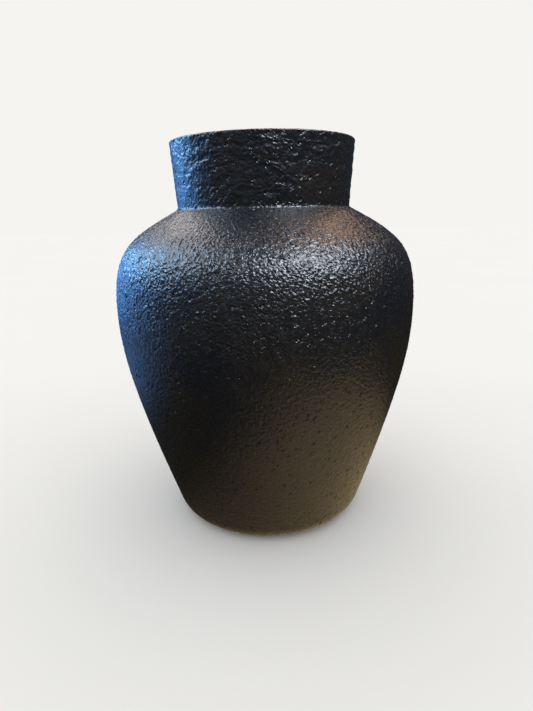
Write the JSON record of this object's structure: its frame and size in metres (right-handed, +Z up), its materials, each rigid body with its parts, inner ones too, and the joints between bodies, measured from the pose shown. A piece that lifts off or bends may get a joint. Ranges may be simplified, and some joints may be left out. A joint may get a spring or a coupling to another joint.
{
  "type": "clay pot",
  "caption": "Round black clay pot with a tapered body, a high rounded shoulder and a short flared collar, open at the top.",
  "frame": {"origin": "middle of the foot, on the surface that the pot stands on", "axes": "+Z up the pot's axis, towards the mouth; the pot is the same all round, so +X and +Y are any two level directions"},
  "size_m": [0.1976, 0.1976, 0.25],
  "materials": {
    "black_clay": "satin, reduction fired, unglazed, textured",
    "seam_clay": "satin, smoothed with a wet finger"
  },
  "bodies": {
    "root": {"base_dish": "black_clay", "foot_course": "black_clay", "lower_wall_course": "black_clay", "middle_wall_course": "black_clay", "belly_course": "black_clay", "shoulder_course": "black_clay", "upper_shoulder_course": "black_clay", "neck_collar": "black_clay", "neck_seam_coil": "seam_clay"}
  },
  "joints": []
}
